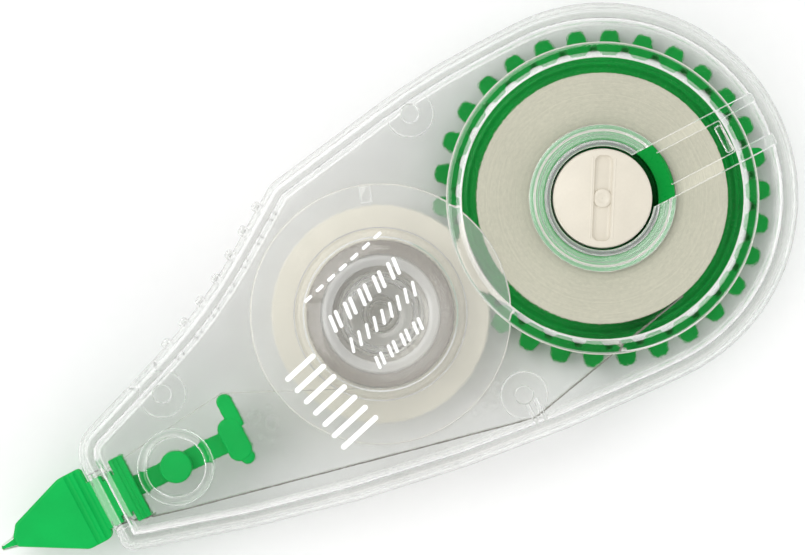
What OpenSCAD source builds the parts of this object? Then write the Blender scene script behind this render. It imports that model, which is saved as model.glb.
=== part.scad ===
// Mini correction tape roller: two clear case halves, two meshed wheels with a slip clutch,
// a guided ribbon of tape and a blade head. Lies on its back, +Z towards the front face.
// +X runs from the take-up axle to the supply axle, +Y towards the thumb grip.

/* [Case] */
// Radius of the round big end
end_r = 15; // [14.6:0.1:15.4]
// Thickness over the front plate
case_t = 11.6; // [11.4:0.1:12.4]
// Thickness of the floor and of the front plate
plate_t = 1.2; // [1:0.1:1.2]
// Thickness of the side wall
wall_t = 1.1; // [0.9:0.1:1.3]
// Height of the seam between the two halves
seam_z = 5.8; // [5.4:0.1:6.2]
// Height of the round bead on the front plate
bead_h = 0.4; // [0.2:0.1:0.6]

/* [Wheels] */
// Distance between the two axles
axle_gap = 19.2; // [19.1:0.1:19.4]
// Teeth on the supply wheel
supply_teeth = 30; // [30:30]
// Teeth on the take-up wheel
take_up_teeth = 17; // [17:17]
// Direction of one supply tooth, in degrees
tooth_turn = -0.5; // [-6:0.5:6]
// Radius of the full roll of tape
tape_r = 9.64; // [7:0.02:9.64]
// Radius of the used liner on the take-up reel
liner_r = 5.6; // [5:0.1:6.5]
// Radius of the clear flange of the take-up reel
reel_flange_r = 10.05; // [9:0.05:10.1]
// Radius of the opaque flange of the take-up gear
gear_flange_r = 8.35; // [7.9:0.05:8.4]
// Radius of the tension dial
dial_r = 3.8; // [3.4:0.05:3.8]

/* [Tape] */
// Width of the tape
tape_w = 5; // [4.2:0.1:5]
// Thickness of the tape as modelled
ribbon_t = 0.1; // [0.06:0.02:0.14]

/* [Head] */
// Half width of the flats of the neck
neck_half = 2; // [1.8:0.1:2]
// Thickness of each cheek of the head
cheek_t = 0.6; // [0.5:0.1:0.7]

/* [Hidden] */
$fn = 96;

// Wheels
supply_at = [axle_gap, 0];
gear_module = 2 * axle_gap / (supply_teeth + take_up_teeth);
gear_z = plate_t + 0.3;
gear_t = 1.5;
gear_clearance = 0.06;
run = 0.06;
web_r = 11.8;
web_z = [plate_t + 0.03, gear_z - run];
hub_r = 5.2;
hub_lip_z = [9.16, 9.5];
core_r = 5.6;
core_bore_r = 5.26;
shaft_r = 2;
take_up_pin_r = 1.4;

// Tape layer
tape_z = 3.7;
tape_top = tape_z + tape_w;
mid_z = tape_z + tape_w / 2;
reel_flange_z = tape_top + 0.25;
plate_z = case_t - plate_t;

// Case outline: corner points anticlockwise with the radius of each corner
CASE = [[-25.75, -7.12, 1], [-4.1, -14.2, 150], [end_r + axle_gap, -15.53, end_r],
        [end_r + axle_gap, end_r, end_r], [11.2, end_r, 56], [-2.9, 12.72, 2],
        [-12.06, 6.7, 40], [-25.75, 1.91, 2.6]];
GRIP_CORNER = 6;
GRIP_COUNT = 7;
grip_step = 2.1;
grip_shift = 2.6;
grip_rib_r = 0.4;

// Posts that locate the halves, and the lowest one guides the tape
POSTS = [[-17.7, 2.3], [9.1, 12.6], [6.9, -10.6]];
post_r = 1.85;
post_pin_r = 0.75;

// Front plate details
dial_hole_r = 4;
collar_r = 5.65;
bead_r0 = 10.8;
bead_r1 = 12;
tongue_x0 = axle_gap + 5.35;
tongue_x1 = axle_gap + 10.7;
slot_x1 = axle_gap + 14;
tongue_y = [-1.62, 1.25];
slot_y = [-2.4, 1.86];
cut = 0.05;

// Print
print_tilt = 15;
print_t = 0.04;

// Head
head_y = -3.05;
neck_x = [-26.1, -22.65];
stem_x0 = -22.5;
boss_at = [-19.35, -3.15];
cheek_z = [tape_z - 0.3 - cheek_t, tape_top + 0.3];

// ---- Geometry helpers ----
function unit(v) = v / norm(v);
function left(v) = [-v[1], v[0]];
function on_circle(c, r, a) = c + r * [cos(a), sin(a)];
function flat(list) = [for (part = list) for (p = part) p];

// Corner of a rounded outline, moved inwards by inset, as the points of its arc
function corner(p, c, n, r, inset) =
    let (d1 = unit(c - p), d2 = unit(n - c), n1 = left(d1), n2 = left(d2),
         turn = atan2(d1[0] * d2[1] - d1[1] * d2[0], d1 * d2), side = sign(turn),
         radius = max(r - side * inset, 0.04),
         tip = c + inset * (n1 + n2) / (1 + n1 * n2),
         start = tip - d1 * radius * tan(abs(turn) / 2),
         centre = start + n1 * radius * side,
         steps = max(2, min(ceil(abs(turn) / 7), ceil(radius * abs(turn) / 7)),
                     ceil(radius * abs(turn) / 230)))
    [for (i = [0:steps]) let (a = turn * i / steps, v = start - centre)
        centre + [v[0] * cos(a) - v[1] * sin(a), v[0] * sin(a) + v[1] * cos(a)]];

function rounded(corners, inset = 0) = let (m = len(corners)) flat([for (i = [0:m - 1])
    let (p = corners[(i + m - 1) % m], c = corners[i], n = corners[(i + 1) % m])
        corner([p[0], p[1]], [c[0], c[1]], [n[0], n[1]], c[2], inset)]);

// Involute tooth: point at radius r on the flank, measured from the tooth's centre line
function flank(z, m, r, side) =
    let (rp = z * m / 2, rb = rp * cos(20), rr = max(r, rb), a = acos(rb / rr),
         inv = tan(a) * 180 / PI - a, inv_p = tan(20) * 180 / PI - 20,
         half = 90 / z - gear_clearance * 90 / PI / rp + inv_p - inv)
    on_circle([0, 0], r, side * half);
function turned(p, a) = [p[0] * cos(a) - p[1] * sin(a), p[0] * sin(a) + p[1] * cos(a)];
function gear_points(z, m, phase) = let (rp = z * m / 2, lo = rp - 1.2 * m, hi = rp + 0.95 * m,
        radii = [lo, rp - 0.55 * m, rp, rp + 0.5 * m, hi - 0.15 * m, hi])
    flat([for (k = [0:z - 1]) let (a = phase + k * 360 / z)
        [for (r = radii) turned(flank(z, m, r, -1), a),
         for (i = [len(radii) - 1:-1:0]) turned(flank(z, m, radii[i], 1), a)]]);

// Ribbon of thickness t along a path
function ribbon(path, t) = let (m = len(path), normal = [for (i = [0:m - 1])
        left(unit(unit(path[min(i + 1, m - 1)] - path[max(i, 1) - 1])
                  + (i > 0 && i < m - 1 ? unit(path[i + 1] - path[i - 1]) : [0, 0])))])
    [for (i = [0:m - 1]) path[i] + normal[i] * t / 2,
     for (i = [m - 1:-1:0]) path[i] - normal[i] * t / 2];

// Angle a moved by whole turns until it is nearest to b
function nearest(a, b) = a - 360 * round((a - b) / 360);

// Direction of the normal at which a straight run touches two circles; side 1 keeps both
// circles on one side, -1 crosses between them
function touch_angle(c1, r1, c2, r2, side, way) = let (v = c2 - c1)
    atan2(v[1], v[0]) + way * acos((r1 - side * r2) / norm(v));

module tube(r0, r1, z0, z1) {
    translate([0, 0, z0]) difference() {
        cylinder(r = r1, h = z1 - z0);
        translate([0, 0, -1]) cylinder(r = r0, h = z1 - z0 + 2);
    }
}

module disc(r, z0, z1) { translate([0, 0, z0]) cylinder(r = r, h = z1 - z0); }

module block(x, y, z) { translate([x[0], y[0], z[0]]) cube([x[1] - x[0], y[1] - y[0], z[1] - z[0]]); }

module slab(points, z0, z1) { translate([0, 0, z0]) linear_extrude(height = z1 - z0) polygon(points); }

module outline(z0, z1, inset = 0) { slab(rounded(CASE, inset), z0, z1); }

// ---- Case ----
module side_wall(z0, z1, outer, inner) {
    difference() {
        outline(z0, z1, outer);
        outline(z0 - 1, z1 + 1, inner);
        block([-26.5, -24.2], [-5.55, -0.55], [cheek_z[0] - 0.5, cheek_z[1] + cheek_t + 0.5]);
    }
}

// Small ribs of the thumb grip, spread evenly along the concave stretch of the wall and the
// straight stretch next to it, towards the big end
module grip_ribs(z0, z1) {
    c = CASE[GRIP_CORNER];
    into = unit([c[0] - CASE[GRIP_CORNER - 1][0], c[1] - CASE[GRIP_CORNER - 1][1]]);
    away = unit([CASE[GRIP_CORNER + 1][0] - c[0], CASE[GRIP_CORNER + 1][1] - c[1]]);
    middle = atan2(into[1] + away[1], into[0] + away[0]) + 90;
    half_turn = acos(into * away) / 2;
    centre = [c[0], c[1]] + on_circle([0, 0], c[2] / cos(half_turn), middle - 180);
    difference() {
        for (i = [0:GRIP_COUNT - 1]) {
            along = grip_shift + (i - (GRIP_COUNT - 1) / 2) * grip_step;
            turn = along * 180 / PI / c[2];
            a = middle + max(-half_turn, min(half_turn, turn));
            past = along - (a - middle) * c[2] * PI / 180;
            translate(on_circle(centre, c[2], a) + past * [-sin(a), cos(a)]) translate([0, 0, z0])
                cylinder(r = grip_rib_r, h = z1 - z0, $fn = 24);
        }
        outline(z0 - 1, z1 + 1, grip_rib_r + 0.1);
    }
}

// Posts clear the wall of the front half above the seam
module posts() {
    for (p = POSTS) translate(p) disc(post_r, plate_t, seam_z);
    intersection() {
        for (p = POSTS) translate(p) disc(post_r, seam_z - 1, tape_top + 0.3);
        outline(seam_z - 2, case_t, wall_t + 0.04);
    }
}

module back_shell() {
    color([0.86, 0.88, 0.87, 0.35]) {
        difference() {
            union() {
                outline(0, plate_t);
                side_wall(plate_t, seam_z, 0, wall_t);
                side_wall(seam_z, seam_z + 0.7, wall_t / 2 + 0.04, wall_t);
                grip_ribs(1, seam_z);
                posts();
                translate(supply_at) disc(shaft_r, plate_t, 9.4);
                disc(take_up_pin_r, plate_t, 9.3);
                translate(boss_at) tube(2.25, 2.95, plate_t, tape_z - 0.5);
            }
            for (p = POSTS) translate([p[0], p[1], 4]) cylinder(r = post_pin_r + 0.05, h = 9);
        }
    }
}

module tongue_slots() {
    for (y = [[slot_y[0], tongue_y[0]], [tongue_y[1], slot_y[1]]])
        block([axle_gap + 3, slot_x1], y, [plate_z - 2, case_t + 0.01]);
    block([axle_gap + 3, tongue_x0], [tongue_y[0] - 0.1, tongue_y[1] + 0.1], [plate_z - 2, case_t + 1]);
    block([tongue_x0 - 0.1, tongue_x1 + cut], [tongue_y[0] - 0.1, tongue_y[1] + 0.1],
          [plate_z - 2, case_t + 0.01]);
}

module front_shell() {
    color([0.9, 0.92, 0.91, 0.3]) {
        difference() {
            union() {
                outline(plate_z, case_t);
                side_wall(seam_z + 0.7, plate_z, 0, wall_t);
                side_wall(seam_z + 0.02, seam_z + 0.7, 0, wall_t / 2);
                grip_ribs(seam_z + 0.02, case_t - 0.4);
                translate(supply_at) tube(bead_r0, bead_r1, case_t, case_t + bead_h);
                translate(supply_at) tube(dial_hole_r, collar_r, plate_z - 0.4, case_t + 0.2);
            }
            translate([axle_gap, 0, plate_z - 2]) cylinder(r = dial_hole_r, h = 5);
            tongue_slots();
            block([axle_gap + 3, axle_gap + 6], slot_y, [case_t, case_t + 1]);
        }
        for (p = POSTS) translate(p) disc(post_pin_r, 6.5, plate_z);
        translate(boss_at) tube(2.25, 2.95, cheek_z[1] + cheek_t + 0.15, plate_z);
        block([6.5, 7.2], [-13.3, -11.6], [tape_top + 0.6, plate_z]);
    }
}

module click_tongue() {
    color([0.9, 0.92, 0.91, 0.4]) {
        block([tongue_x0, tongue_x1], [tongue_y[0] + cut, tongue_y[1] - cut], [plate_z, case_t]);
        block([axle_gap + 10.1, tongue_x1 - 0.1], [-1.4, 0.85], [plate_z - 0.5, plate_z]);
    }
}

// ---- Supply side ----
module supply_gear() {
    color([0, 0.5, 0.2]) translate(supply_at) difference() {
        union() {
            slab(gear_points(supply_teeth, gear_module, tooth_turn), web_z[0], gear_z + gear_t);
            disc(web_r, web_z[0], web_z[1]);
            disc(10.6, gear_z + gear_t, tape_z - 0.2);
            disc(hub_r, tape_z - 0.2, hub_lip_z[1]);
            disc(core_r, hub_lip_z[0], hub_lip_z[1]);
        }
        translate([0, 0, 1]) cylinder(r = dial_r + run, h = 10);
    }
}

module tape_core() {
    color([0.92, 0.93, 0.92, 0.5]) translate(supply_at)
        tube(core_bore_r, core_r, tape_z - 0.05, hub_lip_z[0] - run);
}

module tape_roll() {
    color([0.8, 0.79, 0.72]) translate(supply_at) tube(core_r + 0.01, tape_r, tape_z, tape_top);
}

module tension_dial() {
    color([0.93, 0.9, 0.84]) translate(supply_at) difference() {
        disc(dial_r, gear_z - 0.1, case_t - 0.3);
        translate([0, 0, 1]) cylinder(r = shaft_r + run, h = 8.6);
        rotate(60) translate([-3.1, -0.4, case_t - 0.65]) cube([6.2, 0.8, 1]);
    }
}

// ---- Take-up side ----
module take_up_gear() {
    // A gap of this gear faces the tooth of the supply wheel nearest to the line of centres
    near = 180 - tooth_turn - 12 * round((180 - tooth_turn) / 12);
    phase = near * supply_teeth / take_up_teeth + 180 / take_up_teeth;
    color([0.87, 0.83, 0.74]) difference() {
        union() {
            slab(gear_points(take_up_teeth, gear_module, phase), gear_z, gear_z + gear_t);
            disc(5.4, gear_z + gear_t, gear_z + gear_t + 0.2);
            disc(gear_flange_r, gear_z + gear_t + 0.2, tape_z - 0.05);
        }
        translate([0, 0, 1]) cylinder(r = 3.67, h = 4);
    }
}

module take_up_reel() {
    color([0.9, 0.92, 0.9, 0.4]) {
        tube(take_up_pin_r + run, 2.4, gear_z, reel_flange_z);
        tube(3.1, 3.66, gear_z, tape_z);
        tube(3.1, 4.52, tape_z, reel_flange_z);
        tube(take_up_pin_r + run, reel_flange_r, reel_flange_z, reel_flange_z + 0.5);
        tube(5.9, 6.65, reel_flange_z + 0.5, reel_flange_z + 0.65);
        rotate(69.7) block([8.6, 9.9], [-0.5, 0.5], [reel_flange_z + 0.4, reel_flange_z + 0.65]);
    }
}

module used_liner_roll() {
    color([0.6, 0.56, 0.5]) tube(4.53, liner_r, tape_z + 0.02, tape_top);
}

// ---- Head ----
NOSE = [[-34, -2.62, 0.04], [-33, -2.95, 0.3], [-28.1, -5.7, 1], [-26, -5.7, 0.6],
        [-26, 0.22, 0.3], [-27.9, 0.22, 1.2], [-32.3, -1.32, 0.4], [-32.95, -2.2, 0.3], [-34, -2.42, 0.04]];
WEB = [[-34.05, -2.6, 0.04], [-32.9, -2.85, 0.3], [-28.2, -5, 0.8], [-25.9, -4.7, 0.3],
       [-25.9, -1.3, 0.3], [-28.2, -0.5, 0.8], [-32.3, -1.85, 0.3], [-33, -2.3, 0.3], [-34.05, -2.44, 0.04]];

module area(x, y) { translate([x[0], y[0]]) square([x[1] - x[0], y[1] - y[0]]); }

// Stepped neck that sits in the mouth of the case
module neck() {
    area([-26.1, -24.8], [head_y - neck_half, head_y + neck_half]);
    area([-25, -24.4], [head_y - neck_half + 0.5, head_y + neck_half - 0.5]);
    area([-24.55, -23.95], [head_y - neck_half + 0.1, head_y + neck_half - 0.05]);
    area([-24.1, -23.7], [head_y - neck_half + 0.4, head_y + neck_half - 0.4]);
    area([-23.8, neck_x[1]], [-5.55, -0.35]);
}

module head_nose() {
    color([0, 0.72, 0.32]) {
        for (z = cheek_z) translate([0, 0, z]) linear_extrude(height = cheek_t) {
            difference() {
                polygon(rounded(NOSE));
                area([-34.5, -32.9], [-4, -1]);
            }
            neck();
        }
        translate([0, 0, cheek_z[0] + cheek_t / 2]) linear_extrude(height = cheek_z[1] - cheek_z[0]) {
            polygon(rounded(WEB));
            area([-26.1, neck_x[1] - 0.1], [-4.6, -1.45]);
        }
    }
}

module head_stem() {
    color([0, 0.68, 0.3]) {
        block([stem_x0, -14.4], [-3.98, -2.35], [mid_z - 1.6, mid_z + 1.6]);
        translate(boss_at) disc(1.25, tape_z - 1, tape_top + 1);
        slab(rounded([[-15.3, -5.1, 0.7], [-13.42, -5.1, 0.7], [-13.42, -1.62, 0.7], [-15.3, -1.62, 0.7]]),
             tape_z - 0.6, tape_top + 0.6);
        translate([-14.1, -4.98]) disc(0.58, tape_z - 0.6, tape_top + 0.6);
        slab(rounded([[-14.4, -2.4, 0.2], [-13.15, -2.4, 0.2], [-13.15, 0.16, 0.6], [-14.4, 0.16, 0.6]]),
             tape_z - 0.6, tape_top + 0.6);
    }
}

// ---- Tape ----
TIP = [[-25.95, -5.02], [-28.25, -5.12], [-32.9, -2.97], [-34.05, -2.72], [-34.15, -2.52],
       [-34.05, -2.34], [-33.05, -2.18], [-32.4, -1.72], [-28.15, -0.35], [-25.95, -1.15]];
gap = ribbon_t / 2 + 0.03;

module band(path, t = ribbon_t) { slab(ribbon(path, t), tape_z + 0.02, tape_top); }

module tape_strand() {
    guide = POSTS[2];
    r = post_r + gap;
    a1 = touch_angle(supply_at, tape_r + gap, guide, r, 1, 1);
    entry = [-25.6, -5.12];
    v = guide - entry;
    a2 = nearest(atan2(-v[1], -v[0]) + acos(r / norm(v)), a1);
    path = flat([[on_circle(supply_at, tape_r + gap, a1)],
                 [for (i = [0:4]) on_circle(guide, r, a1 + (a2 - a1) * i / 4)], [entry]]);
    color([0.93, 0.93, 0.9]) band(path);
}

module liner_strand() {
    arm = [-13.775, -0.44];
    r = 0.6 + gap;
    a2 = touch_angle(arm, r, [0, 0], liner_r + gap, -1, 1);
    entry = [-25.6, -1];
    v = entry - arm;
    a1 = nearest(atan2(v[1], v[0]) - acos(r / norm(v)), a2);
    path = flat([[entry], [for (i = [0:4]) on_circle(arm, r, a1 + (a2 - a1) * i / 4)],
                 [on_circle([0, 0], liner_r + gap, a2 + 180)]]);
    color([0.8, 0.78, 0.7, 0.6]) band(path, ribbon_t * 0.6);
}

module tip_tape() {
    color([0.93, 0.93, 0.9]) band(TIP);
}

// ---- Print on the front plate: rows of slanted bars and dashes, no lettering ----
module bar(x, y, length, width) {
    translate([x, y]) {
        square([length, width], center = true);
        for (s = [-0.5, 0.5]) translate([s * length, 0]) circle(d = width, $fn = 24);
    }
}

module slanted(at, angle, length, width) { translate(at) rotate(angle) bar(0, 0, length, width); }

module printed_marks() {
    color([1, 1, 1]) translate([0, 0, case_t]) rotate(print_tilt) linear_extrude(height = print_t) {
        for (i = [0:6]) bar(-7.3, -5.6 + i * 1.12, 3.3 - 0.12 * i, 0.42);
        for (i = [0:4]) for (s = [-0.28, 0.28]) slanted([-2.9 + i * 1.5 + s, 1.9], 70, 1.15, 0.3);
        for (i = [0:8]) slanted([-3.2 + i * 0.8, -0.3], 60, 1, 0.24);
        for (i = [0:3]) for (s = [-0.25, 0.25]) slanted([-2.4 + i * 1.3 + s, -2.6], 70, 0.8, 0.26);
        for (i = [0:6]) bar(-3.3 + i * 1.2, 4.6, 0.5, 0.26);
    }
}

back_shell();
front_shell();
click_tongue();
supply_gear();
tape_core();
tape_roll();
tension_dial();
take_up_gear();
take_up_reel();
used_liner_roll();
head_nose();
head_stem();
tape_strand();
tip_tape();
liner_strand();
printed_marks();
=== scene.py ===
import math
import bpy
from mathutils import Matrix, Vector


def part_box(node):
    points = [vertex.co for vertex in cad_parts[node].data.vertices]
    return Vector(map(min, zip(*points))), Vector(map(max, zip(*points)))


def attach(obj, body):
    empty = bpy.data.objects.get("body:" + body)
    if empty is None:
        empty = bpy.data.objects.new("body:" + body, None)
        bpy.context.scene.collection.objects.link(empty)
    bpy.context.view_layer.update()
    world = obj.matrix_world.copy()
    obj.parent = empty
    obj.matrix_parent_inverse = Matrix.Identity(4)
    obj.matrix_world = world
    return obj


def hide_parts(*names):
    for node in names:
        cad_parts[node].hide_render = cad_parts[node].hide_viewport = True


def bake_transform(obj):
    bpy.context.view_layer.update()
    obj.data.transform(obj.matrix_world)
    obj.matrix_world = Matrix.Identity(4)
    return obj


bl_info = {
    "name": "Correction Tape Roller",
    "version": (1, 0, 0),
    "blender": (4, 5, 0),
    "location": "3D View > Sidebar > Roller",
    "description": "Builds a mini correction tape roller from clear, green and cream mouldings",
    "category": "Add Mesh",
}

import bmesh
import bpy
from bpy.props import FloatProperty, FloatVectorProperty, IntProperty, PointerProperty
from mathutils import Matrix, Vector

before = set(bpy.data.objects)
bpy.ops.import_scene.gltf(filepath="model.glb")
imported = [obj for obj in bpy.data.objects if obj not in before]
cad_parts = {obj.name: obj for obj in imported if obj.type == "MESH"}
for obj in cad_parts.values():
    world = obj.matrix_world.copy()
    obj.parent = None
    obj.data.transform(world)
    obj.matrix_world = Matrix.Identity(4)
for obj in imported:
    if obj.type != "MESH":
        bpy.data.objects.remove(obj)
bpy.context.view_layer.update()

MM = 0.001


def cad(node):
    """Lowest and highest corner of a CAD node at rest, in millimetres."""
    lo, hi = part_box(node)
    return Vector(lo) / MM, Vector(hi) / MM


def middle(node):
    """Centre of a CAD node seen from the front, in millimetres."""
    lo, hi = cad(node)
    return (lo.x + hi.x) / 2, (lo.y + hi.y) / 2


def half_width(node):
    """Half of a round CAD node's width, in millimetres."""
    lo, hi = cad(node)
    return (hi.x - lo.x) / 2


# Heights and the supply axle from the CAD model, in millimetres; the take-up axle is its origin
SUPPLY = middle("tape_roll")
TAKE_UP = (0.0, 0.0)
TAPE_Z = cad("tape_roll")[0].z
TAPE_TOP = cad("tape_roll")[1].z
TONGUE_LO, TONGUE_HI = cad("click_tongue")
PLATE_TOP = TONGUE_HI.z
WEB_Z = cad("supply_gear")[0].z
GEAR_Z = cad("take_up_gear")[0].z
DIAL_TOP = cad("tension_dial")[1].z
REEL_TOP = cad("take_up_reel")[1].z

# Rounded outlines: x, y and corner radius, anticlockwise, in millimetres
CASE = [(-25.75, -7.12, 1), (-4.1, -14.2, 150), (34.2, -15.53, 15), (34.2, 15, 15),
        (11.2, 15, 56), (-2.9, 12.72, 2), (-12.06, 6.7, 40), (-25.75, 1.91, 2.6)]
NOSE = [(-32.9, -2.99, 0.26), (-28.1, -5.7, 1), (-26, -5.7, 0.6), (-26, 0.22, 0.35),
        (-27.9, 0.22, 1.2), (-32.3, -1.32, 0.4), (-32.9, -2.14, 0.26)]
WEB = [(-34.05, -2.6, 0.04), (-32.9, -2.85, 0.3), (-28.2, -5, 0.8), (-25.9, -4.7, 0.3),
       (-25.9, -1.3, 0.3), (-28.2, -0.5, 0.8), (-32.3, -1.85, 0.3), (-33, -2.3, 0.3),
       (-34.05, -2.44, 0.04)]
TIP_PATH = [(-25.95, -5.02), (-28.25, -5.12), (-32.9, -2.97), (-34.05, -2.72), (-34.15, -2.52),
            (-34.05, -2.34), (-33.05, -2.18), (-32.4, -1.72), (-28.15, -0.35), (-25.95, -1.15)]
POSTS = [(-17.7, 2.3), (9.1, 12.6), (6.9, -10.6)]
BOSS = (-19.35, -3.15)
MOUTH = ((-26.5, -24.2), (-5.55, -0.55), (2.3, 10.1))

# Sizes that more than one piece uses, in millimetres
POST_R = 1.85
BOSS_R = (2.25, 2.95)
SEAM = 5.8
LIP_TOP = SEAM + 0.7
SLIT_Y = (-2.4, 1.86)
RUN = 0.06
HUB_R, CORE_R = 5.2, 5.6
HUB_LIP_Z = 9.16
SLOT_TURN = math.radians(60)
BAR_TURN = math.radians(69.7)
ALL_ROUND = ((0, 9),)
NEAR = 0.001

# Scales of the noise patterns, per metre
GRAIN_SCALE = 4500.0
FLOW_SCALE = 260.0
SWAY_SCALE = 160.0
SCRATCH_SCALE = 330.0
RUBBED_SCALE = 120.0


# ---------------------------------------------------------------- settings


def length(name, description, default, lowest, highest):
    return FloatProperty(name=name, description=description, default=default, min=lowest,
                         max=highest, unit="LENGTH", precision=4)


def colour(name, description, default):
    return FloatVectorProperty(name=name, description=description, default=default, size=3,
                               min=0.0, max=1.0, subtype="COLOR")


class RollerCaseSettings(bpy.types.PropertyGroup):
    wall: length("Wall", "Thickness of the side wall", 1.1 * MM, 0.9 * MM, 1.3 * MM)
    plate: length("Plate", "Thickness of the floor and of the front plate", 1.2 * MM, MM, 1.3 * MM)
    edge: length("Edge Radius", "Rounding of the outer edges", 0.75 * MM, 0.3 * MM, MM)
    ribs: IntProperty(name="Grip Ribs", description="Ribs on the thumb grip", default=7, min=3,
                      max=7)
    tint: colour("Clear Tint", "Tint of the clear styrene", (0.935, 0.94, 0.93))
    ink: colour("Ink", "Colour of the print", (0.93, 0.93, 0.92))


class RollerWheelSettings(bpy.types.PropertyGroup):
    teeth: IntProperty(name="Supply Teeth", description="Teeth on the supply wheel", default=30,
                       min=30, max=30)
    small_teeth: IntProperty(name="Take-up Teeth", description="Teeth on the take-up wheel",
                             default=17, min=17, max=17)
    tooth_turn: FloatProperty(name="Tooth Turn", description="Direction of one supply tooth",
                              default=math.radians(-0.5), subtype="ANGLE")
    green: colour("Wheel Green", "Colour of the supply wheel", (0.0, 0.27, 0.035))
    cream: colour("Cream", "Colour of the take-up wheel", (0.88, 0.835, 0.70))
    dial: colour("Dial", "Colour of the tension dial", (0.66, 0.615, 0.52))
    clear: colour("Clear", "Tint of the clear reel and core", (0.98, 0.982, 0.97))


class RollerTapeSettings(bpy.types.PropertyGroup):
    tape: colour("Tape", "Colour of the wound tape's edge", (0.56, 0.545, 0.44))
    ribbon: colour("Ribbon", "Colour of the tape's coated face", (0.80, 0.80, 0.75))
    liner: colour("Used Liner", "Colour of the wound liner's edge", (0.2, 0.168, 0.125))
    thickness: length("Ribbon Thickness", "Thickness of the tape as modelled", 0.1 * MM,
                      0.05 * MM, 0.14 * MM)


class RollerHeadSettings(bpy.types.PropertyGroup):
    green: colour("Head Green", "Colour of the head", (0.0, 0.40, 0.068))
    edge: length("Edge Radius", "Rounding of the head's edges", 0.2 * MM, 0.05 * MM, 0.28 * MM)


class RollerStageSettings(bpy.types.PropertyGroup):
    floor: colour("Floor", "Colour of the floor", (0.86, 0.86, 0.86))
    lens: FloatProperty(name="Lens", description="Focal length in millimetres", default=800.0,
                        min=100.0, max=2000.0)
    view_width: length("View Width", "Width of the camera's view at the front plate", 61.8 * MM,
                       0.04, 0.2)
    roll: FloatProperty(name="Roll", description="Turn of the camera about its axis",
                        default=math.radians(-27.54), subtype="ANGLE")
    key: FloatProperty(name="Key Light", description="Power of the overhead light", default=4.6,
                       min=0.0, subtype="POWER")
    side: FloatProperty(name="Side Light", description="Power of the side light", default=1.2,
                        min=0.0, subtype="POWER")
    fill: FloatProperty(name="Fill Light", description="Power of the light at the head's end",
                        default=1.2, min=0.0, subtype="POWER")
    sky: FloatProperty(name="Room Light", description="Strength of the room's own light",
                       default=0.9, min=0.0)


# ---------------------------------------------------------------- shaping


def rounded_face(bm, corners, inset=0.0):
    """Flat face through rounded corners in millimetres; each arc is spun from its first point."""
    spots = [Vector((c[0], c[1], 0)) for c in corners]
    ends = []
    for i, c in enumerate(corners):
        into = (spots[i] - spots[i - 1]).normalized()
        away = (spots[(i + 1) % len(spots)] - spots[i]).normalized()
        left_in, left_out = Vector((-into.y, into.x, 0)), Vector((-away.y, away.x, 0))
        turn = math.atan2(into.cross(away).z, into.dot(away))
        side = math.copysign(1, turn)
        radius = max(c[2] - side * inset, 0.02)
        tip = spots[i] + inset * (left_in + left_out) / (1 + left_in.dot(left_out))
        start = tip - into * radius * math.tan(abs(turn) / 2)
        centre = start + left_in * radius * side
        steps = max(1, min(math.ceil(abs(turn) / math.radians(4)),
                           math.ceil(radius * abs(turn) / 0.12)))
        first = bm.verts.new(start)
        spun = bmesh.ops.spin(bm, geom=[first], cent=centre, axis=(0, 0, 1), angle=turn,
                              steps=steps)
        last = [g for g in spun["geom_last"] if isinstance(g, bmesh.types.BMVert)][0]
        ends.append((first, last))
    for (_, a), (b, _) in zip(ends, ends[1:] + ends[:1]):
        if (a.co - b.co).length > NEAR:
            bm.edges.new((a, b))
    loose = [v for v in bm.verts if not v.link_faces]
    bmesh.ops.remove_doubles(bm, verts=loose, dist=NEAR)
    edges = [e for e in bm.edges if not e.link_faces]
    made = bmesh.ops.edgeloop_fill(bm, edges=edges)["faces"]
    for face in made:
        face.normal_update()
        if face.normal.z < 0:
            face.normal_flip()
    return made[0]


def raise_face(bm, face, bottom, top):
    """The face becomes a closed prism between two heights."""
    bmesh.ops.translate(bm, vec=(0, 0, bottom), verts=face.verts)
    grown = bmesh.ops.extrude_face_region(bm, geom=[face])["geom"]
    bmesh.ops.translate(bm, vec=(0, 0, top - bottom),
                        verts=[g for g in grown if isinstance(g, bmesh.types.BMVert)])
    bmesh.ops.recalc_face_normals(bm, faces=bm.faces)


def level_edges(bm, height):
    """Edges that lie at one height."""
    return [e for e in bm.edges if all(abs(v.co.z - height) < NEAR for v in e.verts)]


def round_edges(bm, edges, radius, segments=4, material=-1):
    if edges and radius > 0:
        bmesh.ops.bevel(bm, geom=edges, offset=radius, offset_type="OFFSET", affect="EDGES",
                        segments=segments, profile=0.5, material=material, clamp_overlap=False)


def blank(bm, name="blank"):
    """Object in millimetres from a bmesh, with empty slots for up to three finishes."""
    mesh = bpy.data.meshes.new(name)
    for _ in range(3):
        mesh.materials.append(None)
    bm.to_mesh(mesh)
    bm.free()
    obj = bpy.data.objects.new(name, mesh)
    bpy.context.scene.collection.objects.link(obj)
    return obj


def prism(corners, bottom, top, low=0.0, high=0.0, inset=0.0, highlight_rim=-1, segments=4):
    """Prism of a rounded outline with its bottom and top edges rounded by low and high; the rounded
    faces can take the slot of the painted highlight rim finish.
    """
    bm = bmesh.new()
    raise_face(bm, rounded_face(bm, corners, inset), bottom, top)
    round_edges(bm, level_edges(bm, bottom), low, segments, highlight_rim)
    round_edges(bm, level_edges(bm, top), high, segments, highlight_rim)
    return blank(bm)


def block(x, y, z, edge=0.0, highlight_rim=-1):
    """Box between three ranges with all its edges rounded; the rounded faces can take the slot of
    the painted highlight rim finish.
    """
    bm = bmesh.new()
    bmesh.ops.create_cube(bm, size=1)
    bmesh.ops.scale(bm, vec=(x[1] - x[0], y[1] - y[0], z[1] - z[0]), verts=bm.verts)
    bmesh.ops.translate(bm, vec=((x[0] + x[1]) / 2, (y[0] + y[1]) / 2, (z[0] + z[1]) / 2),
                        verts=bm.verts)
    round_edges(bm, bm.edges[:], edge, 3, highlight_rim)
    return blank(bm)


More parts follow.
